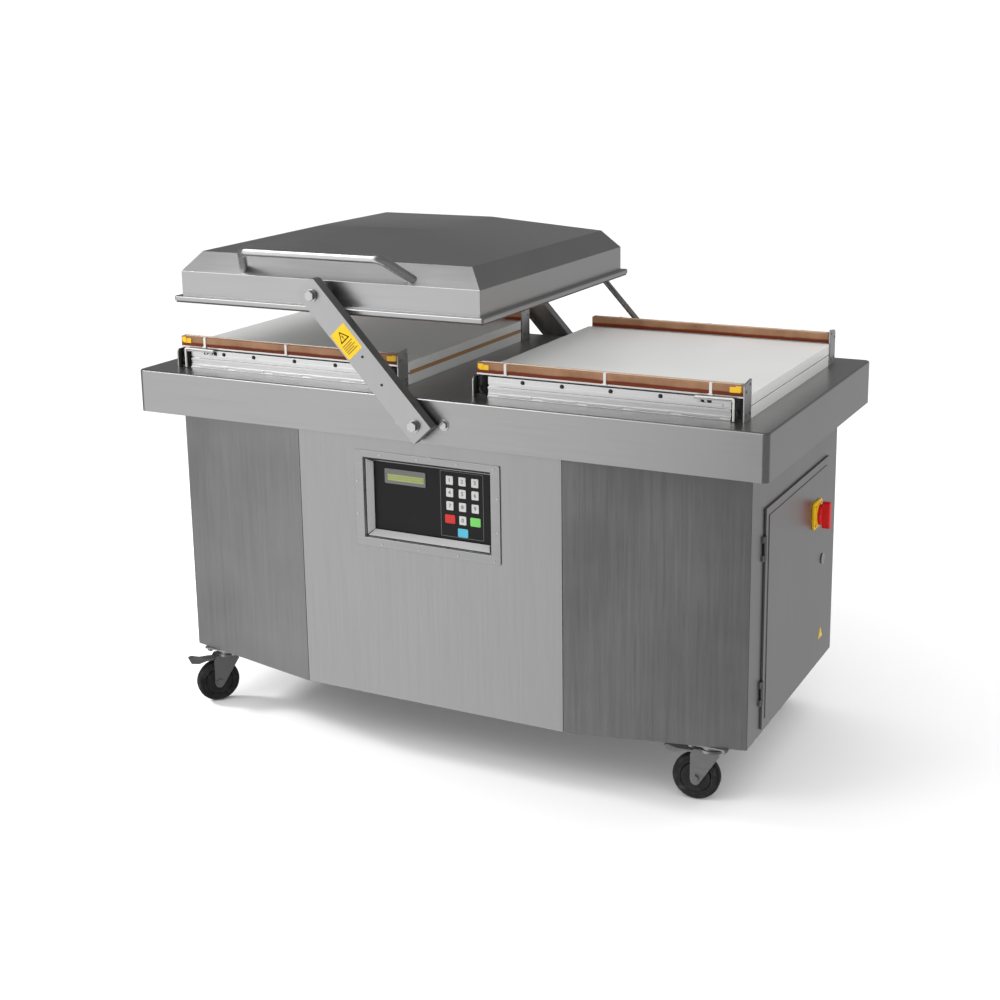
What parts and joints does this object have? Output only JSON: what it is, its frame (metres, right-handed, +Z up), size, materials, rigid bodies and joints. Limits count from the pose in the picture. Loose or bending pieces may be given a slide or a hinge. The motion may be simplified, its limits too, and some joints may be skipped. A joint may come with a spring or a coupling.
{
  "type": "vacuum packing machine",
  "caption": "Double-chamber vacuum packing machine on castors: a lid on parallel swinging arms serves a left and a right sealing frame on a steel cabinet.",
  "frame": {"origin": "on the floor, under the centre of the machine's box", "axes": "+Z up, +X along the worktop to the operator's right, the operator stands at -Y"},
  "size_m": [1.63, 0.918, 1.245],
  "materials": {
    "worktop_steel": "brushed stainless steel, satin",
    "panel_bright": "brushed stainless steel, bright centre panel",
    "panel_dark": "brushed stainless steel, side panels",
    "lid_steel": "brushed stainless steel, satin",
    "arm_steel": "ground stainless steel",
    "steel_parts": "turned and bent stainless steel",
    "frame_steel": "grey painted steel angle",
    "zinc_steel": "bright zinc plated pressed steel",
    "wheel_rubber": "black solid tyre on black hub",
    "white_pe": "white polyethylene plate",
    "black_plastic": "black moulded plastic",
    "control_black": "black front foil",
    "lcd_plastic": "display bezel with yellow-green window",
    "key_white": "white embossed key",
    "key_colour": "coloured embossed keys: red, green and light blue",
    "rail_aluminium": "mill finish aluminium profile",
    "bar_aluminium": "aluminium bar with dark brown insulation",
    "cover_brown": "brown glass cloth tape over the sealing bar",
    "silicone": "grey silicone",
    "pump_alu": "cast aluminium housing, grey",
    "switch_yellow": "yellow moulded plate",
    "switch_red": "red moulded handle"
  },
  "bodies": {
    "base": {"table_top": "worktop_steel", "front_center_panel": "panel_bright", "front_left_panel": "panel_dark", "front_right_panel": "panel_dark", "left_side_panel": "panel_dark", "right_side_panel": "panel_dark", "rear_panel": "panel_dark", "bottom_plate": "panel_dark", "base_frame": "frame_steel", "control_bezel": "panel_bright", "control_plate": "control_black", "lcd_module": "lcd_plastic", "number_keys": "key_white", "function_keys": "key_colour", "shaft_bearings": "steel_parts", "apron_bolts": "steel_parts", "rod_pivot_pin": "steel_parts", "cable_gland": "black_plastic", "vacuum_pump": "pump_alu", "pump_motor": "pump_alu", "suction_manifold": "pump_alu", "caster_plates": "zinc_steel", "support_rails": "rail_aluminium", "insert_plates": "white_pe", "guide_cylinders": "black_plastic", "end_plates": "steel_parts", "door_hinges": "steel_parts"},
    "lid_arms": {"front_arm": "arm_steel", "rear_arm": "arm_steel", "cross_shaft": "steel_parts", "arm_bolts": "steel_parts"},
    "lid": {"lid_shell": "lid_steel", "lid_gasket": "silicone", "lid_handle": "steel_parts", "counter_bars": "silicone", "lid_pivot_pins": "steel_parts"},
    "guide_rod": {"guide_rod": "steel_parts"},
    "service_door": {"service_door": "panel_dark", "switch_plate": "switch_yellow"},
    "door_lock": {"door_lock": "zinc_steel"},
    "switch_handle": {"switch_handle": "switch_red"},
    "left_front_bar": {"left_front_seal_bar": "bar_aluminium", "left_front_bar_cover": "cover_brown"},
    "left_rear_bar": {"left_rear_seal_bar": "bar_aluminium", "left_rear_bar_cover": "cover_brown"},
    "right_front_bar": {"right_front_seal_bar": "bar_aluminium", "right_front_bar_cover": "cover_brown"},
    "right_rear_bar": {"right_rear_seal_bar": "bar_aluminium", "right_rear_bar_cover": "cover_brown"},
    "caster_front_left_swivel": {"caster_front_left_fork": "zinc_steel"},
    "caster_front_left_wheel": {"caster_front_left_wheel": "wheel_rubber"},
    "caster_front_left_brake": {"caster_front_left_brake": "zinc_steel"},
    "caster_front_right_swivel": {"caster_front_right_fork": "zinc_steel"},
    "caster_front_right_wheel": {"caster_front_right_wheel": "wheel_rubber"},
    "caster_front_right_brake": {"caster_front_right_brake": "zinc_steel"},
    "caster_rear_left_swivel": {"caster_rear_left_fork": "zinc_steel"},
    "caster_rear_left_wheel": {"caster_rear_left_wheel": "wheel_rubber"},
    "caster_rear_right_swivel": {"caster_rear_right_fork": "zinc_steel"},
    "caster_rear_right_wheel": {"caster_rear_right_wheel": "wheel_rubber"}
  },
  "joints": [
    {"name": "arms_swing", "type": "hinge", "parent": "base", "child": "lid_arms", "pos_m": [0, 0, 0.839], "axis": [0, 1, 0], "range_deg": [-31.38, 117.17]},
    {"name": "lid_level", "type": "hinge", "parent": "lid_arms", "child": "lid", "pos_m": [-0.262, 0, 1.121], "axis": [0, 1, 0], "range_deg": [-117.2, 31.4]},
    {"name": "guide_rod_swing", "type": "hinge", "parent": "base", "child": "guide_rod", "pos_m": [0.285, 0.431, 0.839], "axis": [0, 1, 0], "range_deg": [-31.4, 117.2]},
    {"name": "left_front_bar_lift", "type": "slide", "parent": "base", "child": "left_front_bar", "axis": [0, 0, 1], "range_m": [0, 0.01]},
    {"name": "left_rear_bar_lift", "type": "slide", "parent": "base", "child": "left_rear_bar", "axis": [0, 0, 1], "range_m": [0, 0.01]},
    {"name": "right_front_bar_lift", "type": "slide", "parent": "base", "child": "right_front_bar", "axis": [0, 0, 1], "range_m": [0, 0.01]},
    {"name": "right_rear_bar_lift", "type": "slide", "parent": "base", "child": "right_rear_bar", "axis": [0, 0, 1], "range_m": [0, 0.01]},
    {"name": "door_hinge", "type": "hinge", "parent": "base", "child": "service_door", "pos_m": [0.7566, -0.23, 0.42], "axis": [0, 0, -1], "range_deg": [0, 110]},
    {"name": "door_lock_turn", "type": "hinge", "parent": "service_door", "child": "door_lock", "pos_m": [0.755, 0.226, 0.427], "axis": [-1, 0, 0], "range_deg": [0, 90]},
    {"name": "main_switch_turn", "type": "hinge", "parent": "service_door", "child": "switch_handle", "pos_m": [0.77, 0.16, 0.56], "axis": [-1, 0, 0], "range_deg": [0, 90]},
    {"name": "caster_front_left_turn", "type": "hinge", "parent": "base", "child": "caster_front_left_swivel", "pos_m": [-0.672, -0.292, 0.13], "axis": [0, 0, 1], "continuous": true},
    {"name": "caster_front_left_roll", "type": "hinge", "parent": "caster_front_left_swivel", "child": "caster_front_left_wheel", "pos_m": [-0.69385, -0.31805, 0.055], "axis": [-0.766, 0.6428, 0], "continuous": true},
    {"name": "caster_front_left_brake_press", "type": "hinge", "parent": "caster_front_left_swivel", "child": "caster_front_left_brake", "pos_m": [-0.68614, -0.30885, 0.116], "axis": [0.766, -0.6428, 0], "range_deg": [0, 8]},
    {"name": "caster_front_right_turn", "type": "hinge", "parent": "base", "child": "caster_front_right_swivel", "pos_m": [0.664, -0.292, 0.13], "axis": [0, 0, 1], "continuous": true},
    {"name": "caster_front_right_roll", "type": "hinge", "parent": "caster_front_right_swivel", "child": "caster_front_right_wheel", "pos_m": [0.63033, -0.29673, 0.055], "axis": [-0.1392, 0.9903, 0], "continuous": true},
    {"name": "caster_front_right_brake_press", "type": "hinge", "parent": "caster_front_right_swivel", "child": "caster_front_right_brake", "pos_m": [0.64221, -0.29506, 0.116], "axis": [0.1392, -0.9903, 0], "range_deg": [0, 8]},
    {"name": "caster_rear_left_turn", "type": "hinge", "parent": "base", "child": "caster_rear_left_swivel", "pos_m": [-0.62, 0.25, 0.13], "axis": [0, 0, 1], "continuous": true},
    {"name": "caster_rear_left_roll", "type": "hinge", "parent": "caster_rear_left_swivel", "child": "caster_rear_left_wheel", "pos_m": [-0.63163, 0.28195, 0.055], "axis": [0.9397, 0.342, 0], "continuous": true},
    {"name": "caster_rear_right_turn", "type": "hinge", "parent": "base", "child": "caster_rear_right_swivel", "pos_m": [0.62, 0.25, 0.13], "axis": [0, 0, 1], "continuous": true},
    {"name": "caster_rear_right_roll", "type": "hinge", "parent": "caster_rear_right_swivel", "child": "caster_rear_right_wheel", "pos_m": [0.63163, 0.28195, 0.055], "axis": [0.9397, -0.342, 0], "continuous": true}
  ],
  "couplings": [
    {"joint": "lid_level", "follows": "arms_swing", "ratio": -1},
    {"joint": "guide_rod_swing", "follows": "arms_swing", "ratio": 1},
    {"joint": "left_rear_bar_lift", "follows": "left_front_bar_lift", "ratio": 1},
    {"joint": "right_rear_bar_lift", "follows": "right_front_bar_lift", "ratio": 1}
  ]
}
